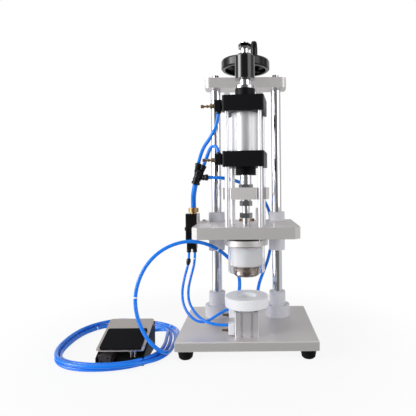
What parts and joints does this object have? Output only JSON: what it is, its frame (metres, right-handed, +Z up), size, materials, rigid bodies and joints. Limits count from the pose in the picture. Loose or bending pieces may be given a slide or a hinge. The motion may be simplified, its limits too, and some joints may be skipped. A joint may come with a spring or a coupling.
{
  "type": "pneumatic capping machine",
  "caption": "bench-top pneumatic bottle capping machine: carriage on two columns with air cylinder, closing head, bottle nest, handwheel, blue hoses and foot pedal",
  "frame": {"origin": "on the floor under the middle of the machine and its pedal, without the hoses", "axes": "+X right as the operator sees it, +Y away from the operator, +Z up"},
  "size_m": [0.575, 0.299, 0.7383],
  "materials": {
    "anodised_plate": "satin anodised plate",
    "seat_grey": "matte light grey",
    "chrome_rod": "ground and chromed",
    "plain_steel": "bright turned",
    "black_enamel": "satin black",
    "black_gloss": "gloss black moulding",
    "satin_barrel": "fine satin",
    "white_nylon": "turned white plastic",
    "white_fitting": "white moulding",
    "brass": "turned brass",
    "dark_steel": "hardened and polished",
    "clear_acrylic": "clear tube",
    "blue_hose": "translucent blue tubing",
    "black_rubber": "moulded rubber",
    "treadle_steel": "champagne plated sheet",
    "valve_grey": "dark grey casting"
  },
  "bodies": {
    "stand": {"base_plate": "anodised_plate", "rubber_feet": "black_rubber", "stand_screws": "plain_steel", "column_seats": "seat_grey", "columns": "chrome_rod", "top_plate": "anodised_plate", "lead_screw_bush": "brass", "lift_cylinder": "satin_barrel", "lift_elbows": "white_fitting", "pedal_base": "black_enamel", "pedal_hardware": "plain_steel", "pedal_valve": "valve_grey", "lift_hose_up": "blue_hose", "lift_hose_down": "blue_hose", "pedal_hose": "blue_hose", "pedal_hose_coil": "blue_hose", "pedal_hose_tail": "blue_hose"},
    "wheel": {"lead_screw_and_collar": "plain_steel", "handwheel": "black_gloss", "grip_axle": "plain_steel"},
    "grip": {"handwheel_grip": "black_gloss"},
    "carriage": {"carriage_plate": "anodised_plate", "column_bushings": "seat_grey", "lead_nut": "brass", "carriage_screws": "plain_steel", "posts": "chrome_rod", "lower_cap": "black_enamel", "cylinder_barrel": "satin_barrel", "upper_cap": "black_enamel", "tie_rods": "chrome_rod", "rod_glands": "black_enamel", "stop_washer": "plain_steel", "head_spacer": "black_enamel", "head_flange": "anodised_plate", "head_body": "white_nylon", "guard_tube": "clear_acrylic", "speed_controls": "black_gloss", "brass_fittings": "brass", "tee_union": "black_gloss", "air_valve": "black_gloss", "carriage_brackets": "anodised_plate", "upper_hose": "blue_hose", "lower_hose": "blue_hose", "supply_hose": "blue_hose"},
    "press_rod": {"press_piston_rod": "chrome_rod", "stroke_adjuster": "black_enamel", "rod_nuts": "plain_steel", "crosshead": "anodised_plate", "push_shaft": "chrome_rod", "closing_collet": "dark_steel"},
    "nest": {"lift_piston_rod": "chrome_rod", "bottle_nest": "white_nylon"},
    "treadle_arm": {"treadle": "treadle_steel", "treadle_pad": "black_rubber"},
    "plunger": {"pedal_plunger": "valve_grey"},
    "button": {"valve_button": "valve_grey"},
    "upper_needle": {"upper_needle": "brass"},
    "lower_needle": {"lower_needle": "brass"},
    "lift_up_needle": {"lift_up_needle": "brass"},
    "lift_down_needle": {"lift_down_needle": "brass"}
  },
  "joints": [
    {"name": "handwheel_turn", "type": "hinge", "parent": "stand", "child": "wheel", "pos_m": [0.079, 0.0585, 0.65], "axis": [0, 0, 1], "range_deg": [-9000, 1080]},
    {"name": "grip_spin", "type": "hinge", "parent": "wheel", "child": "grip", "pos_m": [0.1015, 0.09747, 0.7], "axis": [0, 0, 1], "continuous": true},
    {"name": "carriage_slide", "type": "slide", "parent": "stand", "child": "carriage", "axis": [0, 0, 1], "range_m": [-0.0121, 0.1001], "deforming": ["lift_hose_up", "lift_hose_down", "pedal_hose"]},
    {"name": "piston_stroke", "type": "slide", "parent": "carriage", "child": "press_rod", "axis": [0, 0, -1], "range_m": [0, 0.0157]},
    {"name": "lift_stroke", "type": "slide", "parent": "stand", "child": "nest", "axis": [0, 0, 1], "range_m": [0, 0.008]},
    {"name": "treadle_press", "type": "hinge", "parent": "stand", "child": "treadle_arm", "pos_m": [-0.18, -0.0425, 0.054], "axis": [1, 0, 0], "range_deg": [0, 4.5], "stiffness_Nm_per_rad": 3, "springref_deg": -8.59},
    {"name": "plunger_travel", "type": "slide", "parent": "stand", "child": "plunger", "axis": [0, 0, 1], "range_m": [-0.0051, 0]},
    {"name": "button_press", "type": "slide", "parent": "carriage", "child": "button", "axis": [1, 0, 0], "range_m": [0, 0.002], "stiffness_N_per_m": 500, "springref_m": -0.002},
    {"name": "upper_needle_turn", "type": "hinge", "parent": "carriage", "child": "upper_needle", "pos_m": [0.01051, -0.05909, 0.54], "axis": [-0.9925, 0.1219, 0], "range_deg": [-720, 2880]},
    {"name": "lower_needle_turn", "type": "hinge", "parent": "carriage", "child": "lower_needle", "pos_m": [0.01051, -0.05909, 0.421], "axis": [-0.9925, 0.1219, 0], "range_deg": [-720, 2880]},
    {"name": "lift_up_needle_turn", "type": "hinge", "parent": "stand", "child": "lift_up_needle", "pos_m": [0.039, -0.0575, 0.079], "axis": [-1, 0, 0], "range_deg": [-720, 2880]},
    {"name": "lift_down_needle_turn", "type": "hinge", "parent": "stand", "child": "lift_down_needle", "pos_m": [0.039, -0.0795, 0.053], "axis": [-1, 0, 0], "range_deg": [-720, 2880]}
  ],
  "couplings": [
    {"joint": "carriage_slide", "follows": "handwheel_turn", "m_per_rad": -0.00063661},
    {"joint": "plunger_travel", "follows": "treadle_press", "m_per_rad": -0.063}
  ]
}
